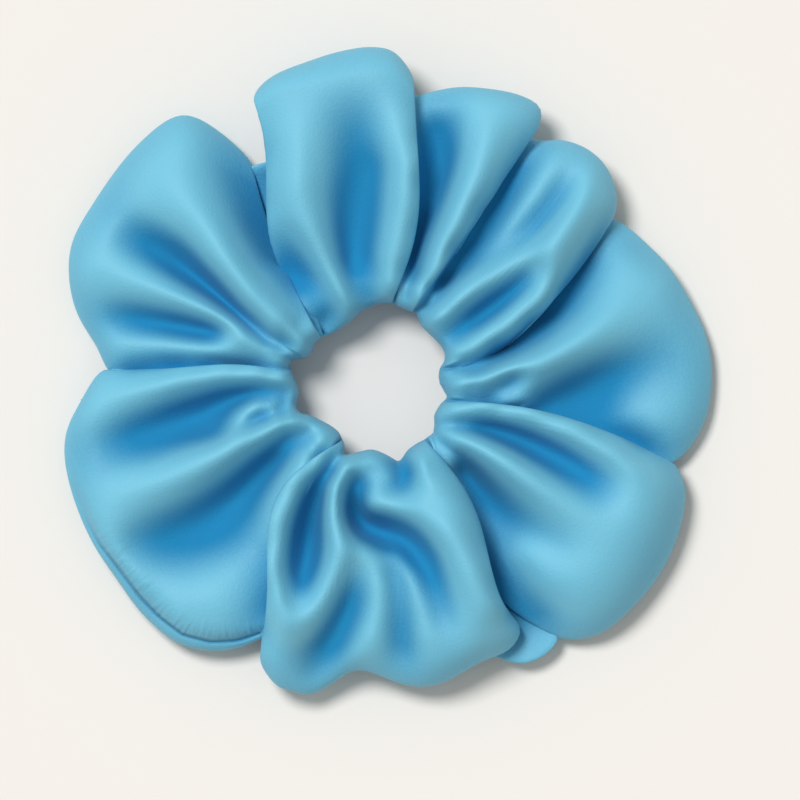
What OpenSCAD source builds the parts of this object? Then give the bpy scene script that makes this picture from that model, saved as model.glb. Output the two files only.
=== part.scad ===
// Scrunchie: a wide satin tube gathered on a loop of flat elastic, lying flat on a table.
// Millimetres, +Z up. The origin is the centre of the hair opening, halfway up the elastic.
// Azimuths are in degrees, anticlockwise from +X seen from above.
// The cover is one cloth tube. It parts into a left and a right half at X = 0, because the
// two halves move apart when the loop is stretched open.

/* [Hair opening] */
// Radius of the relaxed hair opening
opening_r = 13; // [11:0.5:15]
// Height of the wall of gathered cloth that grips the hair
opening_h = 8; // [7:0.5:9]

/* [Cover] */
// Reach of the lobes from the elastic, against that of the standard tube
lobe_reach = 1; // [0.8:0.05:1.3]
// How strongly the rim waves up and down, against the standard gathers
rim_wave = 1; // [0:0.1:1.3]
// Thickness of the cover's wall of satin
cloth_t = 0.8; // [0.6:0.1:1.2]
// Half thickness that the air in the tube adds between elastic and rim
puff = 6; // [4:0.5:8]
// Gap between the two halves of the cover
split_gap = 0.3; // [0.2:0.1:1]

/* [Elastic] */
// Radius of the inner face of the relaxed elastic loop
elastic_r = 18; // [17:0.5:20]
// Width of the flat elastic, which stands on edge
elastic_w = 6; // [4:0.5:7]
// Thickness of the flat elastic
elastic_t = 0.9; // [0.6:0.1:1.2]
// Length over which the two ends of the elastic lie on each other
overlap_l = 12; // [8:1:16]

/* [Sewing] */
// Radius of the sewing thread
thread_r = 0.2; // [0.15:0.05:0.3]
// Width of the seam allowance inside the rim
allowance_w = 6; // [4:0.5:8]
// Thickness of the two layers of cloth in the seam allowance
allowance_t = 0.7; // [0.5:0.1:0.9]
// Distance from the rim to the row of stitches
stitch_inset = 4.9; // [4.8:0.1:6]

/* [Hidden] */

// The rim, lobe by lobe: azimuth, radius and height of each tip and each notch.
RIM = [
    [0, 62.8, -5], [22, 59.5, -4], [34, 54, -1],
    [45, 59, 1], [55, 54.5, 2], [63, 59.5, 4], [79, 55, 5],
    [92, 62.3, 8], [107, 60, 6], [118, 46, -4],
    [131, 62, -3], [154, 61.5, -5], [177, 51, -3],
    [197, 59, -4], [224, 61, -5], [245, 53, -1],
    [255, 59.5, 3], [268, 54, 2], [281, 57, 4], [291, 55, 0],
    [299, 60, -5], [308, 61, -3], [321, 64.8, -3], [336, 62, -2], [345, 57.5, -4]
];
SATIN = "#5CB5E3";
THREAD = "#4FA6D6";
WHITE_RUBBER = "#ECEAE4";

core_r = elastic_r + elastic_t / 2;       // radius of the elastic's middle
core_half = opening_h / 2 + 1.5;          // half height of the cloth wrapped round the elastic
nose = core_r - opening_r + 0.3;          // the gathers' noses, before the opening trims them
floor_z = -10;                            // the table
step_a = 3.6;                             // azimuth step of the swept sections
closing_a = 178;                          // azimuth of the seam that closes the tube to a ring
tube_s = [0, 0.1, 0.22, 0.36, 0.5, 0.64, 0.77, 0.88, 0.955];  // stations from elastic to rim
thread_gap = 0.03;                        // between the thread and the cloth that it lies on
tack_gap = 0.02;                          // between the tack's stitches and the elastic

// Azimuths of the sections of one half, which starts at start_a.
function azimuths(start_a) = [for (k = [0:180 / step_a]) start_a + k * step_a];

// The rim's radius (column 1) or height (column 2) at an azimuth, easing from point to point.
function ease(t) = t * t * (3 - 2 * t);
function turn(a) = a - 360 * floor(a / 360);
function rim_value(a, column) =
    let (
        b = turn(a),
        i = max([for (j = [0:len(RIM) - 1]) if (RIM[j][0] <= b) j]),
        p = RIM[i],
        q = i + 1 < len(RIM) ? RIM[i + 1] : [360, RIM[0][1], RIM[0][2]]
    )
    p[column] + (q[column] - p[column]) * ease((b - p[0]) / (q[0] - p[0]));
function rim_r(a) = core_r + (rim_value(a, 1) - core_r) * lobe_reach;
function rim_z(a) = rim_value(a, 2) * rim_wave;

// Height of the tube's middle surface, and half its thickness, at station s from elastic to rim.
function middle_z(a, s) = rim_z(a) * ease(s);
function half_t(s) = (core_half * (1 - s) + puff * sqrt(sin(180 * s))) * sqrt(1 - pow(s, 6));

// One section of the tube in its radial plane, as [radius, height] points: up the nose, out
// along the top and back along the underside. inset is how far it lies inside the outer face.
function section(a, inset) =
    let (
        rim = rim_r(a) - 2.5 * inset,
        thin = 1 - inset / (core_half + 0.5),
        low = floor_z + inset,
        reach = nose - inset,
        wall = opening_h / 2 - 0.5 - inset,   // the trim lengthens it to opening_h
        top = [for (s = tube_s) [
            core_r + s * (rim - core_r), max(low + 0.4, middle_z(a, s) + thin * half_t(s))
        ]],
        under = [for (s = tube_s) [
            core_r + s * (rim - core_r), max(low, middle_z(a, s) - thin * half_t(s))
        ]],
        last = len(tube_s) - 1
    )
    concat(
        [[core_r - 0.82 * reach, -0.95 * thin * core_half], [core_r - reach, -wall],
         [core_r - reach, 0], [core_r - reach, wall],
         [core_r - 0.82 * reach, 0.95 * thin * core_half]],
        top,
        [[rim, max(low + 0.2, rim_z(a))]],
        [for (k = [last:-1:0]) under[k]]
    );

function placed(profile, a) = [for (p = profile) [p[0] * cos(a), p[0] * sin(a), p[1]]];

// Triangles of the skin between neighbouring loops of n points, from point number base on.
function skin(loops, n, base, inwards) = [
    for (k = [0:loops - 2]) for (i = [0:n - 1])
        let (
            j = (i + 1) % n,
            a = base + k * n + i, b = base + k * n + j,
            c = base + (k + 1) * n + j, d = base + (k + 1) * n + i
        )
        each inwards ? [[a, c, b], [a, d, c]] : [[a, b, c], [a, c, d]]
];

// Triangles of the ring between an outer loop that starts at p and an inner loop at q.
function ring_cap(p, q, n, flip) = [
    for (i = [0:n - 1])
        let (j = (i + 1) % n)
        each flip ? [[p + i, p + j, q + j], [p + i, q + j, q + i]]
                  : [[p + i, q + j, p + j], [p + i, q + i, q + j]]
];

// A solid swept through one profile for each azimuth.
module swept(profiles, at) {
    n = len(profiles[0]);
    m = len(at);
    polyhedron(
        points = [for (k = [0:m - 1]) each placed(profiles[k], at[k])],
        faces = concat(
            skin(m, n, 0, true),
            [[for (i = [0:n - 1]) i]],
            [[for (i = [n - 1:-1:0]) (m - 1) * n + i]]
        ),
        convexity = 10
    );
}

// A hollow tube swept through an outer and an inner profile for each azimuth.
module swept_tube(outer, inner, at) {
    n = len(outer[0]);
    m = len(at);
    polyhedron(
        points = concat(
            [for (k = [0:m - 1]) each placed(outer[k], at[k])],
            [for (k = [0:m - 1]) each placed(inner[k], at[k])]
        ),
        faces = concat(
            skin(m, n, 0, true),
            skin(m, n, m * n, false),
            ring_cap(0, m * n, n, true),
            ring_cap((m - 1) * n, (2 * m - 1) * n, n, false)
        ),
        convexity = 10
    );
}

// Half of the gathered satin tube, open at both ends, with its noses trimmed to the opening.
module cover_half(start_a) {
    at = azimuths(start_a);
    difference() {
        swept_tube([for (a = at) section(a, 0)], [for (a = at) section(a, cloth_t)], at);
        cylinder(r = opening_r, h = 4 * opening_h, center = true, $fn = 96);
    }
}

// A flat strip or a thread that follows the rim inside the tube, from its profile's
// offsets to the row of stitches.
module along_rim(start_a, offsets) {
    at = azimuths(start_a);
    swept(
        [for (a = at)
            let (
                r = rim_r(a) - stitch_inset,
                s = (r - core_r) / (rim_r(a) - 2.5 * cloth_t - core_r),
                z = max(floor_z + cloth_t + 1.5, middle_z(a, s))
            )
            [for (p = offsets) [r + p[0], z + p[1]]]],
        at
    );
}

module seam_allowance_half(start_a) {
    along_rim(start_a, [
        [1 - allowance_w, -allowance_t / 2], [1 - allowance_w, allowance_t / 2],
        [1, allowance_t / 2], [1, -allowance_t / 2]
    ]);
}

// side is 1 for the needle thread, on top of the allowance, and -1 for the bobbin thread.
module seam_thread_half(start_a, side) {
    lift = side * (allowance_t / 2 + thread_r + thread_gap);
    along_rim(start_a, [for (t = [0:-60:-300]) [thread_r * cos(t), lift + thread_r * sin(t)]]);
}

module left() translate([-split_gap / 2, 0, 0]) children();
module right() translate([split_gap / 2, 0, 0]) children();

module cover_left() color(SATIN) left() cover_half(90);
module cover_right() color(SATIN) right() cover_half(-90);
module seam_allowance_left() color(SATIN) left() seam_allowance_half(90);
module seam_allowance_right() color(SATIN) right() seam_allowance_half(-90);
module needle_thread_left() color(THREAD) left() seam_thread_half(90, 1);
module needle_thread_right() color(THREAD) right() seam_thread_half(-90, 1);
module bobbin_thread_left() color(THREAD) left() seam_thread_half(90, -1);
module bobbin_thread_right() color(THREAD) right() seam_thread_half(-90, -1);

// The thread that closes the tube to a ring: a row of stitches round the inside of one section.
module closing_seam_thread() {
    loop = section(closing_a, cloth_t + 2 * thread_r);
    n = len(loop);
    color(THREAD) left() rotate([0, 0, closing_a]) for (i = [0:n - 1]) {
        p = loop[i];
        q = loop[(i + 1) % n];
        along = norm(q - p);
        if (along > 6 * thread_r)
            translate([p[0], 0, p[1]])
                rotate([0, 90 - atan2(q[1] - p[1], q[0] - p[0]), 0])
                    translate([0, 0, 2 * thread_r])
                        cylinder(r = thread_r, h = along - 4 * thread_r, $fn = 16);
    }
}

// The elastic: one strip bent to a loop, whose far end steps out and lies on its near end.
elastic_start = 170;
overlap_a = overlap_l / elastic_r * 180 / PI;
function strip_r(t) =
    elastic_r + (elastic_t + 0.05) * ease(min(1, max(0, (t - 360 + 15) / 15)));
module elastic_band() {
    turns = [for (t = [0:3:360 + overlap_a]) t];
    color(WHITE_RUBBER) rotate([0, 0, elastic_start])
        linear_extrude(height = elastic_w, center = true)
            polygon(concat(
                [for (t = turns) strip_r(t) * [cos(t), sin(t)]],
                [for (k = [len(turns) - 1:-1:0])
                    (strip_r(turns[k]) + elastic_t) * [cos(turns[k]), sin(turns[k])]]
            ));
}

// Zigzag tack over the overlap: rows of short stitches on the outer and the inner face.
module elastic_tack_thread() {
    rows = 3;
    stitches = 5;
    outer_r = elastic_r + 2 * elastic_t + 0.05 + tack_gap + thread_r;
    inner_r = elastic_r - tack_gap - thread_r - 0.03;
    stitch_l = (elastic_w - 1.2) / rows;
    for (face_r = [outer_r, inner_r]) for (row = [0:rows - 1]) for (k = [0:stitches - 1])
        color(THREAD)
            rotate([0, 0, elastic_start + overlap_a * (0.2 + 0.6 * k / (stitches - 1))])
                translate([face_r, 0, (row - 1) * (stitch_l + 0.2)])
                    rotate([k % 2 == 0 ? 18 : -18, 0, 0])
                        cylinder(r = thread_r, h = stitch_l - 0.3, center = true, $fn = 16);
}

cover_left();
cover_right();
seam_allowance_left();
seam_allowance_right();
needle_thread_left();
needle_thread_right();
bobbin_thread_left();
bobbin_thread_right();
closing_seam_thread();
elastic_band();
elastic_tack_thread();
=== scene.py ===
import math

import bmesh
import bpy
import numpy as np
from mathutils import Matrix, Vector


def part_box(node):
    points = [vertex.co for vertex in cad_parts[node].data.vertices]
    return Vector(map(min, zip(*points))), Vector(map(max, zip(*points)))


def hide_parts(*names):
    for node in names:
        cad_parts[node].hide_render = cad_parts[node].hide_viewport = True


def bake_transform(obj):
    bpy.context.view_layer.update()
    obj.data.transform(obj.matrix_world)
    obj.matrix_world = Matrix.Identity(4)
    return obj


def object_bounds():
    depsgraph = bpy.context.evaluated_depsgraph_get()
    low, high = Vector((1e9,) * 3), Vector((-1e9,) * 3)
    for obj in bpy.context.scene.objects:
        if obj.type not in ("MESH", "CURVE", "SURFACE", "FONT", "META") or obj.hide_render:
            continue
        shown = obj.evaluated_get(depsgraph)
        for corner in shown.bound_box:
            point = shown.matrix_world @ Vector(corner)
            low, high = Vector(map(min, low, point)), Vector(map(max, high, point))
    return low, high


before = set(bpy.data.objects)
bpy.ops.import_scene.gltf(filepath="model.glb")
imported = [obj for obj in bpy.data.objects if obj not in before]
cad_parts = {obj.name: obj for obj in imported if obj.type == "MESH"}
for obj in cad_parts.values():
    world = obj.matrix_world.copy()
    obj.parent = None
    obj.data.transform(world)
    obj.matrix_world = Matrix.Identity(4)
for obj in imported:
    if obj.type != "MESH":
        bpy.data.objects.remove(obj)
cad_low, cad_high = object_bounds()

MM = 0.001

# ---------------------------------------------------------------- sizes, in mm
TABLE_Z = cad_low[2] / MM  # what the scrunchie lies on
CLOTH_T = 0.2  # satin
ELASTIC_W, ELASTIC_T, ELASTIC_LAP = 6.0, 0.9, 12.0
ELASTIC_R = 18.5  # middle of the elastic
LAP_BEARING = 170.0  # degrees: where the elastic's end laps over its start
THREAD_R = 0.12
SEAM_STITCH, CLOSING_STITCH, TACK_STITCH = 2.5, 3.2, 2.0  # stitch lengths
TACK_R = ELASTIC_R + 1.35  # the tack's stitches, on the outer face of the lap
TACK_EDGE, TACK_TURNS, TACK_SWING = 0.3, 9, 0.16  # mm off its edges, corners, radians to a side
SEAM_THREAD_LIFT = 0.18  # the two threads of the long seam, above and below its cloth
CLOSING_BEARING = 178.0  # degrees: where the strip's two ends are sewn together
CLOSING_IN = 0.4  # how far the closing stitches are set in from the cloth
STITCH_ROOM = 1.2  # least space between the two layers of cloth for a stitch
ALLOWANCE_T = 0.12  # the seam allowance, pressed flat
NOSE_S = 0.12  # share of the tube's width that wraps round the elastic
NOSE_TIP_S = 0.03  # share of it that the elastic doesn't lift
RIM_S = 0.9  # from here the tube rounds over to its rim
NOSE_Z = -1.0  # height of the gathers' innermost points
UNDER_Z = -5.0  # underside of the cloth below the elastic
RIM_THIN = 0.8  # the tube's thickness near its rim as a share of that in its middle
OVER_ELASTIC = 3.4  # least height of the folded cloth over the elastic
OVER_SHOWN = 0.4  # a little more where a lobe shows
OVER_HALF_W = 1.3  # half the width over which that height holds
OVER_FALL = 0.45  # how fast it falls away beside that, per mm squared
OVER_BLEND = 1.2  # how softly the folds go over into it
FAR_BELOW = -9.0  # a height that leaves the folds as they are
THIN = 0.5  # a tube thinner than this is tucked under its neighbour
TUCK = 1.5  # how far it then lies below the cloth over it
TUCK_FROM, TUCK_OVER = 1.5, 2.0  # from this far off the elastic, in full this much further
SAG = 0.6  # share of the way that the cloth's lower side sags to SAG_TO
SAG_TO = TABLE_Z - 1.5  # a little under the table, so that the sagged cloth ends on it
SAG_OVER = 0.3  # share of the tube's width over which the sag sets in
FLAT_FROM, FLAT_OVER = 26.0, 5.0  # inside this radius the lower side levels out to UNDER_Z
UPPER_CLEAR, LOWER_CLEAR = 1.0, 0.1  # least heights of the tube's two sides above the table
LOBE_BLEND, FIRST_BLEND = 2.5, 2.0  # distance over which a lobe's relief fades in, and the first's
EDGE_PLACES = (0.3, 0.5, 0.7, 0.85, 1.0)  # where a lobe's edges hold the height of their fold
LINE_STEP = 2.2  # spacing of the points that a relief line is cut into
SHEET_UNIT = 10.0  # the smooth sheet is worked out in cm
LEAST_GAP, RISE_SHARE = 1.6, 0.3  # spacing of the folds along the tube
HOLLOW_DEPTH = 2.5  # depth below the cloth round about that counts as a full hollow, for the painted shade
WIDE_PASSES = 200  # smoothing passes that give the cloth round about
SOFT_PASSES = 5  # smoothing passes on the cloth itself
LIFT_SHARE, LIFT_MOST = 0.6, 4.0  # how the elastic's lift counts towards a hollow: painted shade over the elastic, up to that lift
RIM_PAINTED_LIGHT = 0.4  # how much painted light the rim gets, lighter than level cloth
RIM_POINTS, RIM_FADE = 4, 14  # points beside the rim that get this painted light, and over which it fades
SEAM_POINT = 14  # points in from the rim to the long seam inside the tube
ALLOWANCE_POINTS = (14, 18, 22, 26)  # and to the rows of its turned-in edges
STIFF = 0.035  # how far the cloth rounds off its height lines
STATIONS = 440  # sections along the tube
AROUND = 112  # points round each section
TOP = 72  # of them on the side that shows

# the satin's surface
WEAVE, CLOUD = 0.45, 2.6  # length of its floats, and of the unevenness from thread to thread
WEAVE_RELIEF, PUCKER_RELIEF = 0.13, 0.45
CREST_AT, HOLLOW_AT = -0.75, 1.3  # shares of HOLLOW_DEPTH with the pure colours below: full painted light on crests, full painted shade in hollows
CREST_ROUGH, HOLLOW_ROUGH = 0.62, 0.95  # the crests are drawn smooth and catch the gloss

# ---------------------------------------------------------------- colours
SATIN_PAINTED_LIGHT = "#71C2DE"  # dyed satin with painted light, as it looks on its crests and rim
SATIN_PAINTED_SHADE = "#1187BA"  # painted shade: the same satin as it looks where the light reaches it off the cloth round about, in the hollows
SATIN_SHEEN = "#BDEAF5"
THREAD_BLUE = "#3C9CC8"
ELASTIC_WHITE = "#E9E7E1"
PAPER_WHITE = "#F1EEE9"
SKY_WHITE = "#FFFBF6"

# ---------------------------------------------------------------- folds
# The cover from section to section, anticlockwise from the right. Each line is one fold, crease or
# edge of the gathered tube: where it leaves the elastic, its middle, where it reaches the rim (x, y),
# the heights of its top near the elastic, in the middle and near the rim, and the tube's thickness,
# which turns negative where the tube is folded back under itself. A last number sways the line
# anticlockwise by that much in its inner half and clockwise in its outer half.
FOLDS = {
    "right": [  # right lobe, low on the table
        ((13.6, -2.9), (34, -7.2), (56.5, -14.6), 3.0, -1.0, -4.5, 1.5),
        ((13.2, -2.0), (38, -5.0), (61.2, -8.0), 5.0, -0.5, -3.5, 6),
        ((12.6, -0.9), (37, -1.5), (62.6, -2.0), 5.5, -3.5, -3.5, 5),
        ((12.3, -0.4), (36, 2.0), (62.4, 6.0), 7.0, 0.5, -3.0, 6),
        ((12.2, 0.2), (34, 5.2), (58.5, 15.5), 8.0, 6.0, -2.5, 8),
        ((12.1, 1.0), (30, 7.4), (51.5, 24.8), 5.5, -1.5, -4.0, 4),
        ((12.2, 1.9), (26.5, 9.5), (43, 30.5), 4.0, -1.0, -5.0, 1.2),
        ((12.3, 2.3), (27.5, 8.8), (38, 28), 4.2, 0.5, -3.0, -0.8),
    ],
    "second": [  # second lobe from the right, in two ridges
        ((12.5, 2.8), (29.2, 11.0), (43.2, 28.4), 5.0, 1.5, -0.5, 0.7),
        ((13.2, 4.0), (29.5, 13.2), (45.2, 33.0), 8.0, 8.5, 2.5, 6),
        ((12.9, 6.2), (27, 17.0), (44.4, 37.5), 4.5, 5.0, 3.0, 5),
        ((9.6, 9.5), (26.5, 22.3), (41.5, 41.8), 9.0, 9.5, 4.0, 6),
        ((9.0, 10.2), (25.6, 25.2), (38.5, 43.8), 7.5, 7.6, 3.0, 4.5),
        ((8.6, 11.0), (24.4, 28.0), (35, 44.8), 6.5, 8.0, 2.5, 4.5),
        ((8.2, 12.0), (20.5, 27.5), (30.6, 44.6), 4.0, 2.0, 0.0, 2.5),
        ((7.8, 12.6), (17.5, 28.0), (25, 46.0), 4.0, 2.0, 0.0, 1.0),
        ((7.5, 12.9), (17.2, 27.0), (24, 44.0), 4.5, 3.5, 1.5, -0.8),
    ],
    "third": [  # third lobe, over the second
        ((7.2, 12.8), (19.9, 31.2), (30.3, 45.8), 5.5, 5.5, 3.0, 1.0),
        ((7.0, 12.9), (19.2, 31.6), (31.4, 50.6), 7.0, 8.5, 4.5, 2.5),
        ((6.6, 13.0), (17.3, 32.3), (27.5, 53.0), 8.0, 10.5, 6.5, 4),
        ((5.8, 13.3), (13.8, 32.8), (21, 54.3), 8.0, 12.0, 7.5, 5),
        ((4.8, 13.8), (10.2, 33.2), (13.5, 54.3), 4.5, 5.0, 4.5, 3),
        ((4.2, 14.2), (7.0, 34.0), (8.5, 53.0), 4.0, 4.5, 4.0, 1),
        ((3.8, 14.4), (5.0, 34.0), (5, 52.0), 4.5, 6.0, 5.5, -0.8),
    ],
    "top": [  # top lobe, over both its neighbours
        ((3.4, 14.5), (8.8, 37.0), (7.9, 55.0), 6.0, 8.5, 8.0, 0.7, -1.0),
        ((2.6, 14.5), (6.8, 37.0), (4.6, 60.6), 9.0, 13.5, 9.5, 5),
        ((0.5, 14.2), (1.5, 38.0), (0.0, 62.0), 6.0, 9.5, 9.5, 5),
        ((-2.2, 12.9), (-4.2, 37.0), (-5.5, 61.3), 4.0, 7.5, 9.5, 4),
        ((-4.2, 11.0), (-10.5, 36.5), (-12, 59.3), 9.0, 11.5, 10.0, 6),
        ((-6.2, 9.6), (-15.5, 36.0), (-18.5, 56.7), 3.0, 12.0, 10.0, 5, 1.0),
        ((-8.2, 8.6), (-20.0, 33.0), (-22.2, 51.8), 1.0, 4.5, 7.5, 0.7, 2.2),
        ((-9.0, 8.4), (-15.5, 32.5), (-18.0, 47.0), -1.0, -1.5, 2.0, -0.8, 2.0),
    ],
    "upper scrap": [  # scrap of a low lobe between the top lobe and the upper left one
        ((-9.1, 8.3), (-14.0, 30.0), (-16.0, 41.5), -1.0, -4.5, -4.5, 0.8),
        ((-9.2, 8.3), (-17.0, 29.0), (-20.5, 40.6), 0.0, -5.0, -4.5, 2),
        ((-9.4, 8.2), (-21.5, 27.0), (-27.5, 37.0), 0.0, -5.5, -5.5, 1.5),
        ((-9.4, 8.2), (-20.5, 25.0), (-26.5, 36.0), 1.0, -4.8, -5.0, -0.6),
    ],
    "upper left": [  # upper left lobe
        ((-9.7, 8.0), (-17.0, 23.6), (-22.0, 38.6), 5.5, -2.2, -4.0, 0.9),
        ((-10.9, 6.8), (-21.8, 23.6), (-28.0, 46.0), 7.0, 3.5, -1.0, 3),
        ((-11.1, 5.8), (-25.2, 20.4), (-35.5, 49.5), 8.5, 9.0, 1.5, 7),
        ((-12.2, 4.6), (-27.8, 18.0), (-43.5, 44.0), 5.0, 3.0, 0.5, 5),
        ((-13.2, 4.3), (-31.5, 17.6), (-51.5, 33.5), 4.5, -1.0, -2.5, 3),
        ((-14.4, 4.1), (-31.8, 13.6), (-56.2, 24.0), 7.0, 6.5, -1.5, 7),
        ((-15.0, 3.8), (-34, 9.4), (-55.0, 13.0), 6.5, 1.5, -3.5, 5),
        ((-15.3, 3.2), (-33, 5.8), (-51.2, 6.6), 6.0, 5.0, -3.0, 6),
        ((-15.4, 2.8), (-33, 2.0), (-48, 1.0), 4.0, 1.0, -4.0, 1.2),
        ((-15.2, 2.6), (-32, 1.0), (-46, 0.5), 4.5, 2.0, -3.0, -0.8),
    ],
    "lower left": [  # lower left lobe, over the upper left one
        ((-14.9, 1.6), (-31.5, 3.1), (-49.2, 2.7), 5.5, 4.5, -1.0, 0.7, -0.6),
        ((-14.2, 0.0), (-33, 0.6), (-54.6, -4.5), 8.0, 8.5, 0.5, 6),
        ((-13.7, -2.2), (-34, -6.5), (-57.2, -13), 3.5, 1.0, -2.5, 4),
        ((-14.2, -4.2), (-34, -10.4), (-55.8, -20.5), 6.0, 5.5, -1.0, 6),
        ((-13.6, -5.6), (-33, -14.0), (-52.6, -28.6), 8.5, 9.0, 0.0, 7),
        ((-11.5, -6.2), (-30, -19.5), (-47.6, -36.4), 6.5, 5.0, -1.0, 6),
        ((-9.4, -7.2), (-26.5, -22.5), (-42.0, -43.8), 4.5, 0.0, -2.5, 4),
        ((-7.6, -8.2), (-22.4, -26.5), (-34.4, -49.2), 4.0, 2.5, -1.0, 5),
        ((-6.6, -9.0), (-18.5, -29.0), (-25.5, -49.6), 4.0, 2.0, -2.0, 3),
        ((-6.0, -9.8), (-15.5, -29.5), (-17.5, -46.0), 4.5, 2.5, -2.0, 0.8),
        ((-5.8, -10.3), (-16.5, -29.5), (-17.5, -46.0), 5.0, 4.5, -0.5, -0.8),
    ],
    "bottom": [  # bottom left lobe, over the lower left one
        ((-5.5, -10.8), (-19.9, -29.5), (-21.2, -50.8), 7.0, 8.0, 2.0, 0.7, -2.6),
        ((-5.2, -11.8), (-17.4, -31.0), (-18.8, -55.4), 9.0, 12.0, 2.0, 5, -1.5),
        ((-5.4, -13.2), (-12.4, -31.0), (-15.2, -57.3), 3.5, 3.5, 2.0, 4),
        ((-4.4, -13.4), (-7.2, -30.5), (-11.0, -57.8), 9.0, 12.0, 0.5, 5),
        ((-2.0, -12.8), (-2.4, -33.0), (-6.8, -55.4), 8.0, 7.5, 0.5, 5),
        ((0.2, -12.4), (0.4, -33.0), (-3.6, -53.4), 6.0, 6.0, 1.5, 4),
        # bottom lobe
        ((2.8, -13.6), (2.8, -33.0), (-1.0, -53.6), 7.0, 7.5, 2.5, 4),
        ((4.6, -14.7), (6.8, -32.5), (5.0, -56.0), 5.0, 7.0, 1.5, 5),
        ((6.4, -12.6), (12.4, -31.0), (12.5, -56.0), 9.0, 11.5, 2.5, 6),
        ((8.2, -11.3), (17.2, -30.5), (20.6, -51.6), 9.0, 10.5, 2.5, 5),
        ((9.0, -10.9), (20.0, -30.4), (25.8, -49.4), 8.0, 8.5, 1.0, 3, 1.0),
        ((9.4, -10.7), (21.2, -30.3), (27.6, -45.8), 6.0, 5.5, 0.0, 0.9, 1.6),
        ((9.8, -10.4), (17.6, -29.5), (22, -43.5), 3.5, 1.0, -2.5, -0.8, 1.6),
    ],
    "lower scrap": [  # scrap of a low lobe between the bottom lobe and the lower right one
        ((10.2, -10.1), (17.2, -30.5), (20.0, -49.0), 3.0, -4.5, -5.5, 1),
        ((10.5, -9.9), (19.0, -31.0), (28.6, -52.4), 2.5, -6.0, -5.5, 2),
        ((10.7, -9.8), (21.0, -30.0), (34.8, -47.2), 2.5, -6.5, -6.0, 1.5),
        ((10.8, -9.7), (20.0, -29.0), (33.0, -45.0), 2.5, -5.5, -6.0, -0.6),
    ],
    "lower right": [  # lower right lobe, over the right one
        ((10.9, -9.6), (17.8, -29.0), (33.0, -46.6), 4.0, -3.5, -4.5, 0.9, 2.2),
        ((11.0, -9.5), (24.6, -27.8), (42.0, -46.8), 4.0, 0.5, -2.0, 4),
        ((11.1, -9.4), (27.6, -24.6), (51.5, -38.0), 4.5, 1.5, -1.5, 6),
        ((11.2, -8.8), (30.5, -19.8), (57.2, -26.0), 7.5, 6.0, -1.0, 7),
        ((11.3, -8.0), (31.5, -16.2), (58.0, -20.5), 8.0, 6.5, -0.5, 7),
        ((11.3, -7.2), (32.0, -12.4), (57.2, -17.8), 4.0, 1.0, -0.5, 5),
        ((11.4, -5.8), (32.5, -8.2), (56.4, -16.0), 8.5, 9.0, -0.5, 6),
        ((12.6, -3.9), (33.0, -5.2), (55.2, -14.8), 5.0, 4.0, -1.0, 0.7),
        ((13.2, -3.5), (32.6, -7.8), (53.5, -15.8), 4.0, 2.0, -2.0, -0.8),
    ],
}


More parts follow.
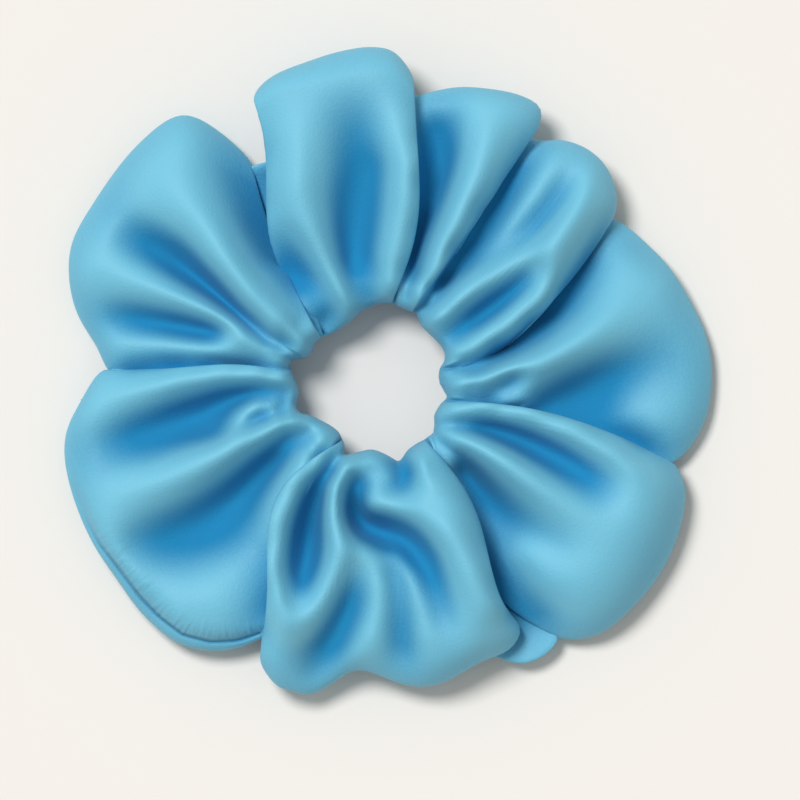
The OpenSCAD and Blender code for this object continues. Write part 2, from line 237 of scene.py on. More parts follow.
# Lines along the crests of the ridges and the floors of the hollows in each lobe: x, y and the height
# of the cloth there. The cloth runs smoothly from one line to the next.
HEIGHTS = {
    "top": [
        ((-15.5, 53, 10.5), (-15, 45, 12.5), (-15, 36, 13.5), (-13.2, 29, 12.5), (-10.2, 24, 11.5),
         (-7.4, 19.8, 10.5), (-5.6, 16.3, 9.5), (-4.2, 12.5, 8)),
        ((-19.3, 38, 7.5), (-19.3, 30, 7)),
        ((-16, 26.5, 5.5), (-13.4, 23, 3.6), (-10.8, 19.2, 3.4), (-8.9, 16, 3.2), (-8, 13.2, 1.5)),
        ((-1.2, 50, 9.5), (-2.2, 45, 7.5), (-3.2, 40, 5.8), (-4.3, 33, 3.6), (-5, 27, 2.6), (-4.9, 21.5, 3),
         (-3.4, 17.2, 3.4), (-0.6, 15.4, 3.4)),
        ((5.6, 53, 10), (6.4, 46, 12), (7.2, 40, 13.5), (6.9, 35, 13.5), (5.4, 29, 12.5),
         (3.6, 23, 11), (2.5, 18.5, 9.5), (1.6, 15.6, 8)),
        ((1.2, 40, 7), (1.0, 32, 6.5), (0, 24, 5.5)),
        ((-9, 56, 11), (0, 57, 11)),
    ],
    "third": [
        ((7.0, 13.8, 8.5), (10, 18.5, 10.5), (13, 24.5, 12), (15.6, 30, 13), (18, 36, 13),
         (19.6, 41, 12), (21, 46, 10.5), (22, 50, 8.5)),
        ((11, 50, 4), (12.2, 46, 1.5), (12.6, 41, 0), (10.8, 35, 0), (8.4, 29.5, 0), (6.2, 24, 1)),
        ((8.4, 22.2, 4.5), (7.2, 19, 3), (6.2, 16, 4)),
        ((4.9, 20, 5), (5.0, 16.5, 6)),
        ((27.5, 50, 7), (24, 43, 8.5)),
    ],
    "second": [
        ((13.3, 4.3, 8), (18, 6.9, 9.5), (24, 10.7, 10.5), (29, 14.6, 11.5), (33, 20, 11.5),
         (36.2, 25.5, 11), (39.4, 31, 9), (41.6, 36, 6.5)),
        ((14, 8.3, 3), (19, 11.4, 1.5), (24, 14.7, 1.5), (28.4, 17.7, 3.5), (31, 20.2, 7)),
        ((9.2, 10.8, 9), (12.5, 12.8, 10.5), (17, 16.1, 11), (22, 19.8, 11), (27, 23, 10.5),
         (31.5, 26.3, 11), (35.5, 31, 10), (39.3, 37, 7.5)),
        ((21, 21.4, 5.5), (27, 25.6, 4.5), (31.5, 29.8, 3.5), (35, 34, 3.8), (37, 38, 4.5)),
        ((20, 23, 5), (25, 28, 6), (30, 34, 7), (33.5, 39.5, 6)),
        ((9.8, 14.2, 2.5), (13, 18.5, 1.5), (17.5, 23.5, 0.8), (21.5, 28.5, 0.8), (25.5, 34.5, 0.8),
         (28.8, 40.5, 1)),
    ],
    "right": [
        ((43, 26, -2.2), (39.6, 20.0, -2), (36.4, 14.4, -1.5), (31, 9.2, -0.5), (25, 5.5, 0.5),
         (19, 2.9, 2), (15.2, 1.9, 4)),
        ((52, 17.5, 1.5), (46, 14, 4.5), (41.5, 10, 7), (37, 6.9, 8.5), (31, 4.4, 9.5), (25, 2.3, 10),
         (19.5, 0, 9.5), (15.5, -0.9, 8.5)),
        ((47.5, 22.5, 0), (54, 19, 0)),
        ((54, 4, -0.6), (48, 3.5, -0.6), (42, 1.5, -1.2), (36, -1.2, -1.5), (31, -3.2, 0)),
        ((26.6, 0.6, 4), (24.6, -1, 3), (22, -2.2, 3.5)),
        ((29, -0.8, 7), (27, -2.7, 6.5), (24.5, -3.7, 6.5)),
        ((57, -4, -0.6), (53, -8, 0.2), (47, -7.2, -0.8)),
        ((40, -6.5, -2.5), (47, -9.8, -3.2), (52, -12.5, -3.5)),
    ],
    "lower right": [
        ((12.3, -6, 8), (18, -4.7, 10.5), (25, -5.3, 11.5), (32, -6.9, 11.5), (39, -9.5, 10.5),
         (45, -12.8, 9.5), (49, -16.5, 8.5), (49.5, -21, 8), (48, -27, 7), (45, -34, 6)),
        ((13.5, -8.2, 4.5), (18.5, -8.2, 1.5), (24, -9.9, -0.5), (29.5, -12, -1), (35, -14.4, 0.5),
         (40, -16.6, 3), (44, -18.4, 5.5)),
        ((11.5, -9.4, 7), (16, -9.9, 9.5), (21, -11.6, 10.5), (25.5, -13.9, 10.5), (30, -17, 10),
         (34.5, -20.4, 9), (39.5, -24.5, 8)),
        ((12, -10.9, 4.5), (15, -13.4, 1.5), (18, -16.8, -1.5), (21.6, -20.8, -2), (26, -24.6, 0),
         (30.5, -28, 3), (35, -31, 5)),
        ((21, -26, -2.6), (24, -33, -3), (27, -38.5, -3.2), (31.5, -43.5, -3.6)),
        ((27, -32.5, 2.5), (31.5, -38, 3), (37.5, -40.5, 4)),
        ((52, -28, 4), (48.5, -37, 2)),
    ],
    "bottom": [
        # band down the left side, round the foot of the pocket and up the next ridge to its nose
        ((-6.2, -11, 8.5), (-10, -14.5, 10), (-14, -20, 11), (-17, -27, 12), (-18.3, -34, 12),
         (-18.4, -40, 11), (-16.6, -45, 10), (-12, -44.4, 10), (-8.8, -40.5, 11), (-7, -35.5, 12),
         (-6.4, -30, 12.5), (-7.6, -24, 13), (-7.6, -19.6, 12.5), (-5.4, -15.8, 11.5),
         (-1.6, -13.9, 9.5), (1.6, -14.6, 8)),
        ((-6.8, -14.4, 4.5), (-9.2, -18.6, 1.5), (-11, -23.5, -1), (-12.2, -29, -2), (-12.9, -34, 0),
         (-13.1, -38, 4), (-13.4, -41.5, 8)),
        ((-3, -34, 7), (-4.8, -39, 3.5), (-7.5, -44, 2.5), (-10, -49, 0.5), (-11.5, -53.5, -0.5)),
        ((-17.5, -51, 4), (-15.5, -54, 2.5)),
        ((-0.9, -30.5, 8), (0.8, -34, 8.5), (2.0, -38, 8.5), (2, -43, 7.5), (0, -48, 7),
         (-3, -50.5, 4)),
        ((2.6, -32, 5.5), (4.2, -36, 4), (5.0, -41, 3.8), (5.4, -46, 2.5), (5.6, -51, 1.5)),
        ((4.5, -31, 6), (6.6, -35.5, 8.5), (8.0, -41, 8.5), (9, -47, 7.5), (9.5, -52, 4.5)),
        # the deep hollow that curls in round the hooked end of the main ridge
        ((0.6, -16.2, 5.5), (-2, -17.5, 3), (-3.8, -20.3, 1), (-3.5, -24.5, -1.5), (-0.8, -27.8, -2.5),
         (3, -29, -1.5), (7, -31, 0.5), (9.8, -35, 3.5), (11.6, -40, 5.5), (12.6, -45, 6.5)),
        ((4.6, -14.9, 2.5), (6.3, -16.9, 2), (5.3, -19.1, 3.5), (2.6, -20.0, 6)),
        ((2.6, -17.3, 7.5), (0.6, -19, 8), (-0.6, -21, 8)),
        ((-0.8, -23.2, 8.5), (2, -22.3, 10), (6, -23.4, 11.5), (10, -26.2, 13), (14, -31, 13.5),
         (16.8, -37, 13), (18.6, -43, 10.5), (19, -49, 6)),
        ((8.4, -12.6, 9.5), (8.5, -15, 11), (9.2, -19, 12), (11.5, -23.5, 13)),
        ((13, -18, 11), (17, -25, 11.5), (20.5, -34, 11), (24, -42, 7.5)),
    ],
    "lower left": [
        ((-52.5, -6.5, 2.5), (-46, -1.8, 5), (-38, 0.3, 7.5), (-30, 0.9, 8.5), (-22, 0.6, 9),
         (-16.5, 0, 8.5)),
        ((-50, -12.5, 0.5), (-44, -9.3, -1), (-36, -5.8, -2), (-28, -3.2, -1.5), (-21, -1.9, 0),
         (-17, -2.2, 2)),
        ((-28, -8.6, 3), (-24.6, -6.4, 6.5), (-21.6, -3.9, 7.5), (-18.6, -3.5, 6.5)),
        ((-22.6, -8.2, 3.5), (-20, -6.8, 2), (-17.2, -5.6, 3)),
        ((-41, -14.5, 3), (-34, -11.9, 3.5), (-28, -10, 4)),
        ((-47, -20.5, 5), (-40, -18, 7.5), (-33, -14.6, 9.5), (-27, -11.4, 10.5), (-20, -8.4, 11),
         (-15, -6.8, 10.5), (-11, -6.9, 9.5), (-8.3, -8.2, 8.5)),
        ((-45, -30.5, 0.5), (-38, -28, -1.5), (-31, -25, -3), (-25, -20.5, -3), (-20, -15.8, -1.5),
         (-15.5, -11.6, 1), (-12, -9.6, 4)),
        ((-9, -9.8, 8.5), (-12.2, -13, 9), (-15.6, -17.8, 8.5), (-17.6, -22.5, 6.5), (-19.2, -27, 4),
         (-20.5, -32, 2)),
        ((-25, -34, 2.5), (-30, -38, 3.5), (-36, -42, 3), (-28, -44, 3)),
        ((-50, -27.5, 3), (-44, -37, 1.5)),
    ],
    "upper left": [
        ((-36, 46, 4), (-35, 40, 7.5), (-32, 33, 10), (-27.5, 25.5, 12), (-22, 17.5, 12.5),
         (-17, 11.5, 11.5), (-13, 7.8, 9)),
        ((-38.5, 30.6, 7), (-33.5, 27.2, 9), (-29, 21.4, 10.5), (-23.5, 14.8, 11), (-18.4, 9.7, 10)),
        ((-28, 41, 1), (-25.2, 35, 0), (-22.6, 28.5, 0), (-20, 22.5, 2)),
        ((-42, 38, 5.5), (-44, 33, 4.5)),
        ((-49, 28, 2.5), (-41, 25.2, 0), (-35.4, 21.8, -1.8), (-31, 18, -2), (-26.6, 13.6, 0),
         (-21.6, 9, 2.5), (-17.8, 6.2, 4)),
        ((-52.5, 21, 3), (-45, 18.6, 5.5), (-38, 16.2, 7.5), (-31, 13.8, 9), (-26, 11.2, 9.5),
         (-21, 7.4, 8.5), (-17, 4.9, 7)),
        ((-50, 12.6, -1), (-43, 11.4, -2), (-36, 10.4, -2), (-30.5, 9.6, -0.5), (-28, 9.2, 2.5)),
        ((-47, 6.4, 1), (-40, 6.3, 3.5), (-33, 6, 5.5), (-28, 6, 7), (-23.6, 6.6, 8)),
        ((-46, 3.2, -2), (-38, 4.2, -0.5), (-30, 3.4, 1), (-22, 2.2, 2.5)),
    ],
}

# The sewn edge that shows, a little inside the rim of one lobe.
SEAM_LOBE = "lower left"
SEAM_LINE = [
    (-55.2, -20), (-53.4, -25), (-50.4, -30.4), (-48.0, -33.4), (-43.2, -39.8), (-39.6, -43.6),
    (-35.2, -46.9), (-30, -48.2), (-25, -47.9), (-21.2, -46.6),
]
SEAM_DEPTH, SEAM_HALF_W = 2.0, 0.5  # the groove that it draws in the cloth


def seam_reach(x, y):
    """How far each place is from the sewn edge that shows, + on its inner side, and how far along."""
    near, away, along = (np.full(x.shape, v) for v in (1e9, 0.0, 0.0))
    run = 0
    for (ax, ay), (bx, by) in zip(SEAM_LINE, SEAM_LINE[1:]):
        dx, dy = bx - ax, by - ay
        length = math.hypot(dx, dy)
        t = np.clip(((x - ax) * dx + (y - ay) * dy) / length**2, 0, 1)
        gap = np.hypot(x - ax - t * dx, y - ay - t * dy)
        side = np.sign(dx * (y - ay) - dy * (x - ax))
        closer = gap < near
        near = np.where(closer, gap, near)
        away = np.where(closer, gap * side, away)
        along = np.where(closer, run + t * length, along)
        run += length
    return away, along


def closed_spline(knots, values, at):
    """Smooth closed curves through values at knots, read at the parameters in at."""
    n = len(values)
    v = np.asarray(values, float)
    before, after = np.roll(v, 1, 0), np.roll(v, -1, 0)
    d_after = np.diff(knots)[:, None]
    d_before = np.roll(d_after, 1, 0)
    slope = (
        (after - v) / d_after * d_before + (v - before) / d_before * d_after
    ) / (d_before + d_after)
    i = np.clip(np.searchsorted(knots, at, side="right") - 1, 0, n - 1)
    j = (i + 1) % n
    h = d_after[i]
    t = ((at - knots[i])[:, None]) / h
    return (
        v[i] * (2 * t**3 - 3 * t**2 + 1)
        + slope[i] * h * (t**3 - 2 * t**2 + t)
        + v[j] * (3 * t**2 - 2 * t**3)
        + slope[j] * h * (t**3 - t**2)
    )


def through(s, a, b, c, sa, sb, sc):
    """The quadratic curve through a, b and c at sa, sb and sc."""
    return (
        a * (s - sb) * (s - sc) / ((sa - sb) * (sa - sc))
        + b * (s - sa) * (s - sc) / ((sb - sa) * (sb - sc))
        + c * (s - sa) * (s - sb) / ((sc - sa) * (sc - sb))
    )


def swayed(s, c):
    """x and y along each fold: through its three points, swayed to one side and then the other."""
    x = through(s, c[:, 0], c[:, 2], c[:, 4], 0, 0.5, 1)
    y = through(s, c[:, 1], c[:, 3], c[:, 5], 0, 0.5, 1)
    dx, dy = c[:, 4] - c[:, 0], c[:, 5] - c[:, 1]
    sway = c[:, 10] * np.sin(2 * math.pi * s) / np.hypot(dx, dy)
    return x - sway * dy, y + sway * dx


def quarter_round(x):
    """0 at 0, rising as a quarter circle to 1 at 1."""
    return np.sqrt(np.clip(1 - (1 - np.clip(x, 0, 1)) ** 2, 0, 1))


def smooth_sheet(lines, x, y):
    """Heights at x, y of the smooth sheet that passes along the lines of (x, y, height)."""
    points = []
    for line in lines:
        for a, b in zip(line, line[1:]):
            a, b = np.array(a, float), np.array(b, float)
            steps = max(1, round(np.hypot(*(b - a)[:2]) / LINE_STEP))
            points += [a + (b - a) * i / steps for i in range(steps)]
        points.append(np.array(line[-1], float))
    points = np.array(points)
    at, z = points[:, :2] / SHEET_UNIT, points[:, 2]

    def bend(d2):
        return d2 * np.log(d2 + 1e-9)

    n = len(at)
    system = np.zeros((n + 3, n + 3))
    system[:n, :n] = bend(((at[:, None] - at[None]) ** 2).sum(2)) + STIFF * np.eye(n)
    system[:n, n] = system[n, :n] = 1
    system[:n, n + 1 :] = at
    system[n + 1 :, :n] = at.T
    w = np.linalg.solve(system, np.concatenate([z, [0, 0, 0]]))
    where = np.stack([x, y], -1) / SHEET_UNIT
    d2 = ((where[..., None, :] - at) ** 2).sum(-1)
    return bend(d2) @ w[:n] + w[n] + where @ w[n + 1 :]


def lobe_heights(x, y, crest, rows, knots, at):
    """The heights of the tube's top, with the ridges and hollows of each lobe, and how far each
    place belongs to a lobe rather than to a fold hidden between two."""
    crest, shown = crest.copy(), np.zeros_like(crest)
    first = 0
    for lobe, folds in FOLDS.items():
        last = first + len(folds) - 2  # the last fold of a lobe is the one hidden beneath the next
        start, end = knots[first], knots[last]
        before = start - knots[first - 1] if first else FIRST_BLEND
        after = knots[last + 1] - end
        ramp = np.clip(1 + (at - start) / min(before, LOBE_BLEND), 0, 1)
        ramp = ramp * np.clip(1 + (end - at) / min(after, LOBE_BLEND), 0, 1)
        ramp = ramp * ramp * (3 - 2 * ramp)
        near = ramp > 0
        if lobe in HEIGHTS:
            lines = list(HEIGHTS[lobe])
            for i in range(first, last + 1):
                r = rows[i][:, None]
                places = (NOSE_S, 1.0) if first < i < last else (NOSE_S, *EDGE_PLACES)
                for p in places:
                    px, py = swayed(p, r[None])
                    z = through(min(p, RIM_S), r[6], r[7], r[8], NOSE_S, 0.5, RIM_S)
                    lines.append(((px.item(), py.item(), z.item()),))
            sheet = smooth_sheet(lines, x[near], y[near])
            if lobe == SEAM_LOBE:
                away, _ = seam_reach(x[near], y[near])
                sheet = sheet - SEAM_DEPTH * np.exp(-((away / SEAM_HALF_W) ** 2))
            crest[near] += ramp[near, None] * (sheet - crest[near])
            shown[near] += ramp[near, None]
        first += len(folds)
    return crest, np.clip(shown, 0, 1)


def soft_max(a, b, width):
    """The larger of a and b, rounded over where they are within about width of each other."""
    return 0.5 * (a + b + np.sqrt((a - b) ** 2 + width * width))


def tube_surface():
    """Points of the cover in mm: [station, place round the section, xyz]; how far the elastic lifts
    the cloth there; and the first and the last station of the lobe whose sewn edge shows."""
    rows = np.array(
        [[*a, *b, *c, *rest, 0][:11] for lobe in FOLDS.values() for a, b, c, *rest in lobe]
    )
    step = np.roll(rows, -1, 0) - rows
    gap = 0.5 * np.hypot(step[:, 2], step[:, 3]) + 0.5 * np.hypot(step[:, 4], step[:, 5])
    gap = np.maximum(gap, LEAST_GAP) + RISE_SHARE * np.abs(step[:, 7])
    knots = np.concatenate([[0], np.cumsum(gap)])
    at = np.arange(STATIONS) / STATIONS * knots[-1]
    c = closed_spline(knots, rows, at)[:, :, None]
    place = np.arange(AROUND)
    turn = np.where(place < TOP, place / TOP, 1 + (place - TOP) / (AROUND - TOP)) * math.pi
    s = ((1 - np.cos(turn)) / 2)[None, :]
    top = (place <= TOP)[None, :]
    x, y = swayed(s, c)
    crest = through(s, c[:, 6], c[:, 7], c[:, 8], NOSE_S, 0.5, RIM_S)
    crest, shown = lobe_heights(x, y, crest, rows, knots, at)
    off = np.abs(np.hypot(x, y) - ELASTIC_R)
    over = OVER_ELASTIC + OVER_SHOWN * shown - OVER_FALL * np.maximum(off - OVER_HALF_W, 0) ** 2
    over = np.where(s > NOSE_TIP_S, np.maximum(over, FAR_BELOW), FAR_BELOW)
    lifted = soft_max(crest, over, OVER_BLEND) - crest
    crest = crest + lifted
    thick = c[:, 9]
    drop = TUCK * np.clip(THIN - thick, 0, 1) * np.clip((off - TUCK_FROM) / TUCK_OVER, 0, 1)
    crest = crest - drop
    deep = through(s, c[:, 6] - UNDER_Z, thick, RIM_THIN * thick, NOSE_S, 0.5, RIM_S)
    under = crest - deep
    sag = SAG * shown * np.clip((thick - 1) / 2, 0, 1) * np.clip((s - NOSE_S) / SAG_OVER, 0, 1)
    under = under + sag * np.minimum(SAG_TO - under, 0)
    level = np.clip((FLAT_FROM - np.hypot(x, y)) / FLAT_OVER, 0, 1)
    under = np.where(thick > THIN, under + level * np.minimum(UNDER_Z - under, 0), under)
    nose = quarter_round(s / NOSE_S)
    rim = quarter_round((1 - s) / (1 - RIM_S))
    half = 0.5 * (crest - under)
    upper = np.where(s < NOSE_S, NOSE_Z + (crest - NOSE_Z) * nose, crest - half * (1 - rim))
    under = np.where(s < NOSE_S, NOSE_Z + (UNDER_Z - NOSE_Z) * nose, under + half * (1 - rim))
    z = np.where(top, upper, under)
    z = np.maximum(z, TABLE_Z + np.where(top, UPPER_CLEAR, LOWER_CLEAR))
    lobes = list(FOLDS)
    first = sum(len(FOLDS[lobe]) for lobe in lobes[: lobes.index(SEAM_LOBE)])
    ends = knots[first], knots[first + len(FOLDS[SEAM_LOBE]) - 2]
    lifted = np.where(top, lifted, 0)
    return np.stack([x, y, z], 2), lifted, [round(k / knots[-1] * STATIONS) for k in ends]


def smoothed(points, times):
    """The closed grid of points, each moved halfway to its four neighbours' middle, times over."""
    for _ in range(times):
        near = (
            np.roll(points, 1, 0) + np.roll(points, -1, 0)
            + np.roll(points, 1, 1) + np.roll(points, -1, 1)
        ) / 4
        points = points + 0.5 * (near - points)
    return points


# ---------------------------------------------------------------- materials
def linear(hex_colour):
    """A sRGB hex colour as linear RGBA."""
    out = []
    for i in (1, 3, 5):
        c = int(hex_colour[i : i + 2], 16) / 255
        out.append(c / 12.92 if c <= 0.04045 else ((c + 0.055) / 1.055) ** 2.4)
    return (*out, 1.0)


def feed(tree, put, value):
    """Links the input socket put to value where that is a socket, and else sets it."""
    if isinstance(value, bpy.types.NodeSocket):
        tree.links.new(value, put)
    else:
        put.default_value = value


def node(tree, kind, settings=None, **sockets):
    """Adds a node with its settings, sets or links its input sockets, and returns it."""
    n = tree.nodes.new(kind)
    for key, value in (settings or {}).items():
        setattr(n, key, value)
    for key, value in sockets.items():
        feed(tree, n.inputs[key.replace("_", " ")], value)
    return n


def maths(tree, operation, *values):
    """A Math node's output, from values and sockets in order."""
    n = node(tree, "ShaderNodeMath", {"operation": operation})
    for put, value in zip(n.inputs, values):
        feed(tree, put, value)
    return n.outputs[0]


def new_material(name):
    m = bpy.data.materials.new(name)
    m.use_nodes = True
    m.node_tree.nodes.clear()
    return m, m.node_tree


def finish_material(tree, shader):
    out = tree.nodes.new("ShaderNodeOutputMaterial")
    tree.links.new(shader.outputs[0], out.inputs["Surface"])


def satin_material():
    """Polyester satin, woven with long floats and dyed: a soft, broad gloss over a clear blue, with
    painted shade that deepens the blue in the hollows and the seam's groove, and painted light on the
    crests and the rim. The cloth carries how deep each place lies, as painted shading, and how near the
    sewn edge it is."""
    m, t = new_material("polyester_satin_woven")

    def mark(name):
        return node(t, "ShaderNodeAttribute", {"attribute_name": name}).outputs["Fac"]

    def ranged(value, start, end, **to):
        return node(
            t, "ShaderNodeMapRange", {"interpolation_type": "SMOOTHSTEP"},
            Value=value, From_Min=start, From_Max=end, **to,
        ).outputs["Result"]

    hollow, away, shows = mark("hollow"), mark("seam_away"), mark("seam_shows")
    # the sewn edge: a sharp groove with painted shade in it, and short puckers in the cloth on its inner
    # side
    along = mark("seam_along")
    shows = maths(t, "MULTIPLY", shows, ranged(along, 3.0, 16.0))
    close = ranged(maths(t, "ABSOLUTE", away), 0.0, 0.6, To_Min=1, To_Max=0)
    groove = maths(t, "MULTIPLY", close, shows)
    across = maths(t, "MULTIPLY", away, 0.22)
    drawn = node(t, "ShaderNodeCombineXYZ", X=along, Y=across)
    crimp = node(t, "ShaderNodeTexNoise", Vector=drawn.outputs["Vector"], Scale=0.85, Detail=1.0)
    fade = ranged(away, 0.2, 5.0, To_Min=1, To_Max=0)
    fade = maths(t, "MULTIPLY", fade, ranged(away, -0.3, 0.3))
    fade = maths(t, "MULTIPLY", fade, shows)
    pucker = maths(t, "MULTIPLY", fade, crimp.outputs["Fac"])
    # weave: floats under half a millimetre long, a little uneven from thread to thread
    place = node(t, "ShaderNodeTexCoord").outputs["Object"]
    weave = node(t, "ShaderNodeTexNoise", Vector=place, Scale=1 / (WEAVE * MM), Detail=2.0)
    cloud = node(t, "ShaderNodeTexNoise", Vector=place, Scale=1 / (CLOUD * MM), Detail=3.0)
    # the blue's place on the ramp: a little weave grain, plus the painted shade in hollows and painted
    # light at the rim
    weave_and_painted_shading = maths(t, "MULTIPLY_ADD", weave.outputs["Fac"], 0.35, hollow)
    # painted shade in the seam's groove
    weave_and_painted_shading = maths(t, "MULTIPLY_ADD", groove, 0.7, weave_and_painted_shading)
    depth = node(t, "ShaderNodeMapRange", Value=weave_and_painted_shading, From_Min=CREST_AT, From_Max=HOLLOW_AT)
    # the ramp runs from the painted-light crest colour to the painted-shade hollow colour
    dye_and_painted_shading = node(t, "ShaderNodeValToRGB", Fac=depth.outputs["Result"])
    ramp = dye_and_painted_shading.color_ramp
    ramp.interpolation = "EASE"
    ramp.elements[0].color = linear(SATIN_PAINTED_LIGHT)
    ramp.elements[1].color = linear(SATIN_PAINTED_SHADE)
    matt = node(t, "ShaderNodeMapRange", Value=hollow, To_Min=CREST_ROUGH, To_Max=HOLLOW_ROUGH)
    grain = maths(t, "MULTIPLY_ADD", cloud.outputs["Fac"], 0.5, weave.outputs["Fac"])
    fine = node(t, "ShaderNodeBump", Height=grain, Strength=0.7, Distance=WEAVE_RELIEF * MM)
    drawn_in = maths(t, "MULTIPLY_ADD", groove, -0.9, pucker)
    bump = node(
        t, "ShaderNodeBump", Height=drawn_in, Normal=fine.outputs["Normal"], Strength=1.0,
        Distance=PUCKER_RELIEF * MM,
    )
    bsdf = node(
        t, "ShaderNodeBsdfPrincipled", Base_Color=dye_and_painted_shading.outputs["Color"],
        Roughness=matt.outputs["Result"], Normal=bump.outputs["Normal"],
    )
    bsdf.inputs["Specular IOR Level"].default_value = 0.5
    bsdf.inputs["Sheen Weight"].default_value = 0.1
    bsdf.inputs["Sheen Roughness"].default_value = 0.5
    bsdf.inputs["Sheen Tint"].default_value = linear(SATIN_SHEEN)
    finish_material(t, bsdf)
    return m


# ---------------------------------------------------------------- pieces
def new_object(name, bm, material):
    mesh = bpy.data.meshes.new(name)
    bm.to_mesh(mesh)
    bm.free()
    for p in mesh.polygons:
        p.use_smooth = True
    obj = bpy.data.objects.new(name, mesh)
    bpy.context.scene.collection.objects.link(obj)
    mesh.materials.append(material)
    return obj


def wrapped_grid(name, points, material, wrap=(True, True), marks=None, capped=False):
    """A smooth object from points in mm, [along, across, xyz], closed round where wrap says, with
    the marks that its material reads."""
    along, across = points.shape[:2]
    cells = along - (not wrap[0]), across - (not wrap[1])
    bm = bmesh.new()
    bmesh.ops.create_grid(bm, x_segments=cells[0], y_segments=cells[1], size=1)
    marks = marks or {}
    layers = {mark: bm.verts.layers.float.new(mark) for mark in marks}
    for v in bm.verts:
        i = round((v.co.x + 1) / 2 * cells[0]) % along
        j = round((v.co.y + 1) / 2 * cells[1]) % across
        v.co = Vector(points[i, j]) * MM
        for mark, layer in layers.items():
            v[layer] = marks[mark][i, j]
    if any(wrap):
        bmesh.ops.remove_doubles(bm, verts=bm.verts, dist=1e-7)
    if capped:
        bmesh.ops.holes_fill(bm, edges=[e for e in bm.edges if e.is_boundary])
    bmesh.ops.recalc_face_normals(bm, faces=bm.faces)
    return new_object(name, bm, material)


def cover_piece(points, lifted, seam_lobe, material):
    """The cloth of the cover, with a real wall, and the marks that the satin reads, among them its painted
    shading.
    """
    # painted shade: how far each place lies below the cloth round about, and more where the elastic lifts
    # it
    sunk = (smoothed(points, WIDE_PASSES) - points)[..., 2]
    sunk = (sunk + LIFT_SHARE * np.clip(lifted, 0, LIFT_MOST)) / HOLLOW_DEPTH
    from_rim = np.abs(np.arange(AROUND) - TOP)
    inside = np.clip((from_rim - RIM_POINTS) / RIM_FADE, 0, 1)  # the rim catches the light: painted light there, where this is 0
    away, along = seam_reach(points[..., 0], points[..., 1])
    shows = np.zeros(away.shape)
    shows[seam_lobe[0] : seam_lobe[1], : TOP + 1] = 1
    # painted shading: shade in the hollows and over the elastic, light at the rim
    hollow = sunk * inside - RIM_PAINTED_LIGHT * (1 - inside)
    marks = {"hollow": hollow, "seam_away": away, "seam_along": along, "seam_shows": shows}
    obj = wrapped_grid("satin_cover", points, material, marks=marks)
    wall = obj.modifiers.new("wall", "SOLIDIFY")
    wall.thickness = CLOTH_T * MM
    wall.offset = -1
    return obj


def two_sides(points, j):
    """The lines on the tube's upper and lower side, j points in from the rim."""
    return points[:, TOP - j], points[:, TOP + round(j * (AROUND - TOP) / TOP)]


def middle(points, j):
    """The line midway between the tube's two sides, j points in from the rim."""
    upper, lower = two_sides(points, j)
    return 0.5 * (upper + lower)


def closed(line):
    """The line with its start added after its end."""
    return np.concatenate([line, line[:1]])


def allowance_piece(points, material):
    """The strip's two long edges, turned into the tube beside its seam."""
    rows = [middle(points, j) for j in ALLOWANCE_POINTS]
    obj = wrapped_grid("satin_seam_allowance", np.stack(rows, 1), material, wrap=(True, False))
    wall = obj.modifiers.new("two_layers", "SOLIDIFY")
    wall.thickness = ALLOWANCE_T * MM
    wall.offset = 0
    return obj


def stitches(name, line, material, pitch, lift=0.0, room=None):
    """A row of stitches along line (points in mm), each a short six-sided rod. None is made where
    room, the space between the two layers of cloth there, is too small."""
    line = np.asarray(line, float)
    run = np.concatenate([[0], np.cumsum(np.linalg.norm(np.diff(line, axis=0), axis=1))])
    count = max(2, round(run[-1] / pitch))
    bm = bmesh.new()
    for i in range(count):
        a, b = (
            Vector([float(np.interp((i + e) / count * run[-1], run, line[:, k])) for k in range(3)])
            for e in (0.08, 0.92)
        )
        if room is not None and np.interp((i + 0.5) / count * run[-1], run, room) < STITCH_ROOM:
            continue
        turn = (b - a).to_track_quat("Z", "Y").to_matrix().to_4x4()
        spot = Matrix.Translation(((a + b) / 2 + Vector((0, 0, lift))) * MM)
        bmesh.ops.create_cone(
            bm, cap_ends=True, segments=6, radius1=THREAD_R * MM, radius2=THREAD_R * MM,
            depth=(b - a).length * MM, matrix=spot @ turn,
        )
    return new_object(name, bm, material)


def elastic_piece(material):
    """A flat braided elastic, joined in a loop with its end lapped over its start."""
    steps, ribs = 260, 48
    lap = ELASTIC_LAP / ELASTIC_R
    turn = np.linspace(0, 2 * math.pi + lap, steps)
    out = np.clip((turn - 2 * math.pi + 0.25) / 0.25, 0, 1)
    radius = ELASTIC_R - 0.05 + (ELASTIC_T + 0.06) * out * out * (3 - 2 * out)
    angle = np.arange(ribs) / ribs * 2 * math.pi
    flat = np.sign(np.sin(angle)) * np.abs(np.sin(angle)) ** 0.25 * ELASTIC_T / 2
    high = np.sign(np.cos(angle)) * np.abs(np.cos(angle)) ** 0.8 * ELASTIC_W / 2
    braid = 0.06 * np.sin(high * 7)[None, :] * np.sin(turn * 90)[:, None]
    r = radius[:, None] + flat[None, :] + braid * np.sign(flat)[None, :]
    bearing = math.radians(LAP_BEARING) + turn[:, None]
    z = np.broadcast_to(high[None, :], r.shape)
    points = np.stack([r * np.cos(bearing), r * np.sin(bearing), z], 2)
    return wrapped_grid("braided_elastic", points, material, wrap=(False, True), capped=True)


def plain_material(name, colour, rough, sheen):
    m, t = new_material(name)
    bsdf = node(t, "ShaderNodeBsdfPrincipled", Base_Color=linear(colour), Roughness=rough)
    bsdf.inputs["Sheen Weight"].default_value = sheen
    finish_material(t, bsdf)
    return m


def soft(obj, slot, *nodes):
    """A piece that replaces the CAD nodes named: they are hidden, and the piece's placement is baked into
    its mesh.
    """
    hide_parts(*nodes)
    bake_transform(obj)


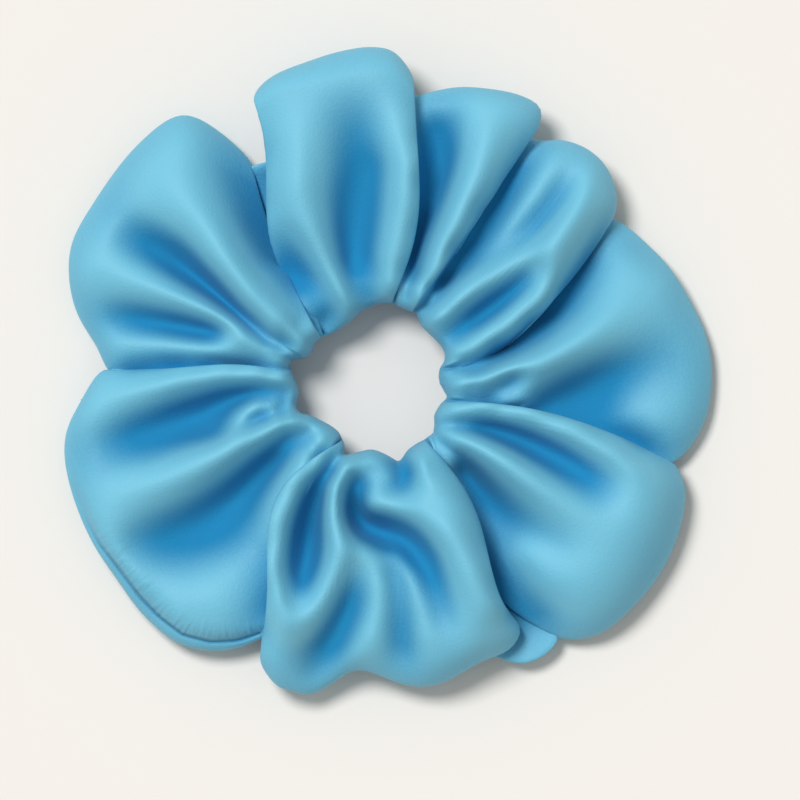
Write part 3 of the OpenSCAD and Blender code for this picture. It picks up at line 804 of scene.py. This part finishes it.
satin = satin_material()
thread = plain_material("polyester_thread_twisted", THREAD_BLUE, 0.6, 0.3)  # a soft gloss
elastic = plain_material("elastic_braided_white", ELASTIC_WHITE, 0.75, 0.4)  # matt, a little fluffy

tube, lifted, seam_lobe = tube_surface()
tube = smoothed(tube, SOFT_PASSES)
cover = cover_piece(tube, lifted, seam_lobe, satin)
allowance = allowance_piece(tube, satin)
soft(cover, "satin", "cover_left", "cover_right")
soft(allowance, "satin", "seam_allowance_left", "seam_allowance_right")

seam = closed(middle(tube, SEAM_POINT))
upper, lower = two_sides(tube, SEAM_POINT)
room = closed((upper - lower)[:, 2])
needle = stitches("needle_thread", seam, thread, SEAM_STITCH, SEAM_THREAD_LIFT, room)
bobbin = stitches("bobbin_thread", seam, thread, SEAM_STITCH, -SEAM_THREAD_LIFT, room)
soft(needle, "thread", "needle_thread_left", "needle_thread_right")
soft(bobbin, "thread", "bobbin_thread_left", "bobbin_thread_right")

bearings = np.degrees(np.arctan2(tube[:, TOP // 2, 1], tube[:, TOP // 2, 0]))
ring = tube[int(np.argmin(np.abs(bearings - CLOSING_BEARING)))].copy()
ring[2 : TOP - 1, 2] -= CLOSING_IN
ring[TOP + 2 :, 2] += CLOSING_IN
closing = stitches("closing_stitches", ring, thread, CLOSING_STITCH)
soft(closing, "thread", "closing_seam_thread")

band = elastic_piece(elastic)
soft(band, "elastic", "elastic_band")
tack_low, tack_high = (np.array(p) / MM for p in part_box("elastic_tack_thread"))
across_band = np.linspace(tack_low[2] + TACK_EDGE, tack_high[2] - TACK_EDGE, TACK_TURNS)
lap_mid = math.radians(LAP_BEARING) + 0.5 * ELASTIC_LAP / ELASTIC_R
zigzag = []
for i, z in enumerate(across_band):
    a = lap_mid + (TACK_SWING if i % 2 else -TACK_SWING)
    zigzag.append((TACK_R * math.cos(a), TACK_R * math.sin(a), z))
tack = stitches("tack_stitches", zigzag, thread, TACK_STITCH)
soft(tack, "thread", "elastic_tack_thread")


# ---------------------------------------------------------------- floor, light and camera
def floor_and_light():
    m, t = new_material("white_paper_sweep")  # pressed paper, matt: no glare round the cloth
    bsdf = node(t, "ShaderNodeBsdfPrincipled")
    bsdf.inputs["Base Color"].default_value = linear(PAPER_WHITE)
    bsdf.inputs["Roughness"].default_value = 0.9
    finish_material(t, bsdf)
    bm = bmesh.new()
    bmesh.ops.create_grid(bm, x_segments=1, y_segments=1, size=1.5)
    bmesh.ops.translate(bm, verts=bm.verts, vec=(0, 0, TABLE_Z * MM))
    floor = new_object("floor", bm, m)

    world = bpy.data.worlds.new("studio")
    bpy.context.scene.world = world
    world.use_nodes = True
    back = world.node_tree.nodes["Background"]
    back.inputs["Color"].default_value = linear(SKY_WHITE)
    back.inputs["Strength"].default_value = 0.42

    key = bpy.data.lights.new("key", "SUN")
    key.angle = math.radians(18)
    key.energy = 2.2
    key_obj = bpy.data.objects.new("key", key)
    bpy.context.scene.collection.objects.link(key_obj)
    key_obj.location = (-0.31, 0.34, 0.95)
    key_obj.rotation_euler = (-key_obj.location).to_track_quat("-Z", "Y").to_euler()


def camera():
    cam = bpy.data.cameras.new("camera")
    cam.type = "ORTHO"
    cam.ortho_scale = 0.148
    obj = bpy.data.objects.new("camera", cam)
    bpy.context.scene.collection.objects.link(obj)
    obj.location = (0.005, -0.0034, 0.6)
    bpy.context.scene.camera = obj


floor_and_light()
camera()
bpy.context.scene.view_settings.view_transform = "Standard"  # the dyed cloth keeps its full colour
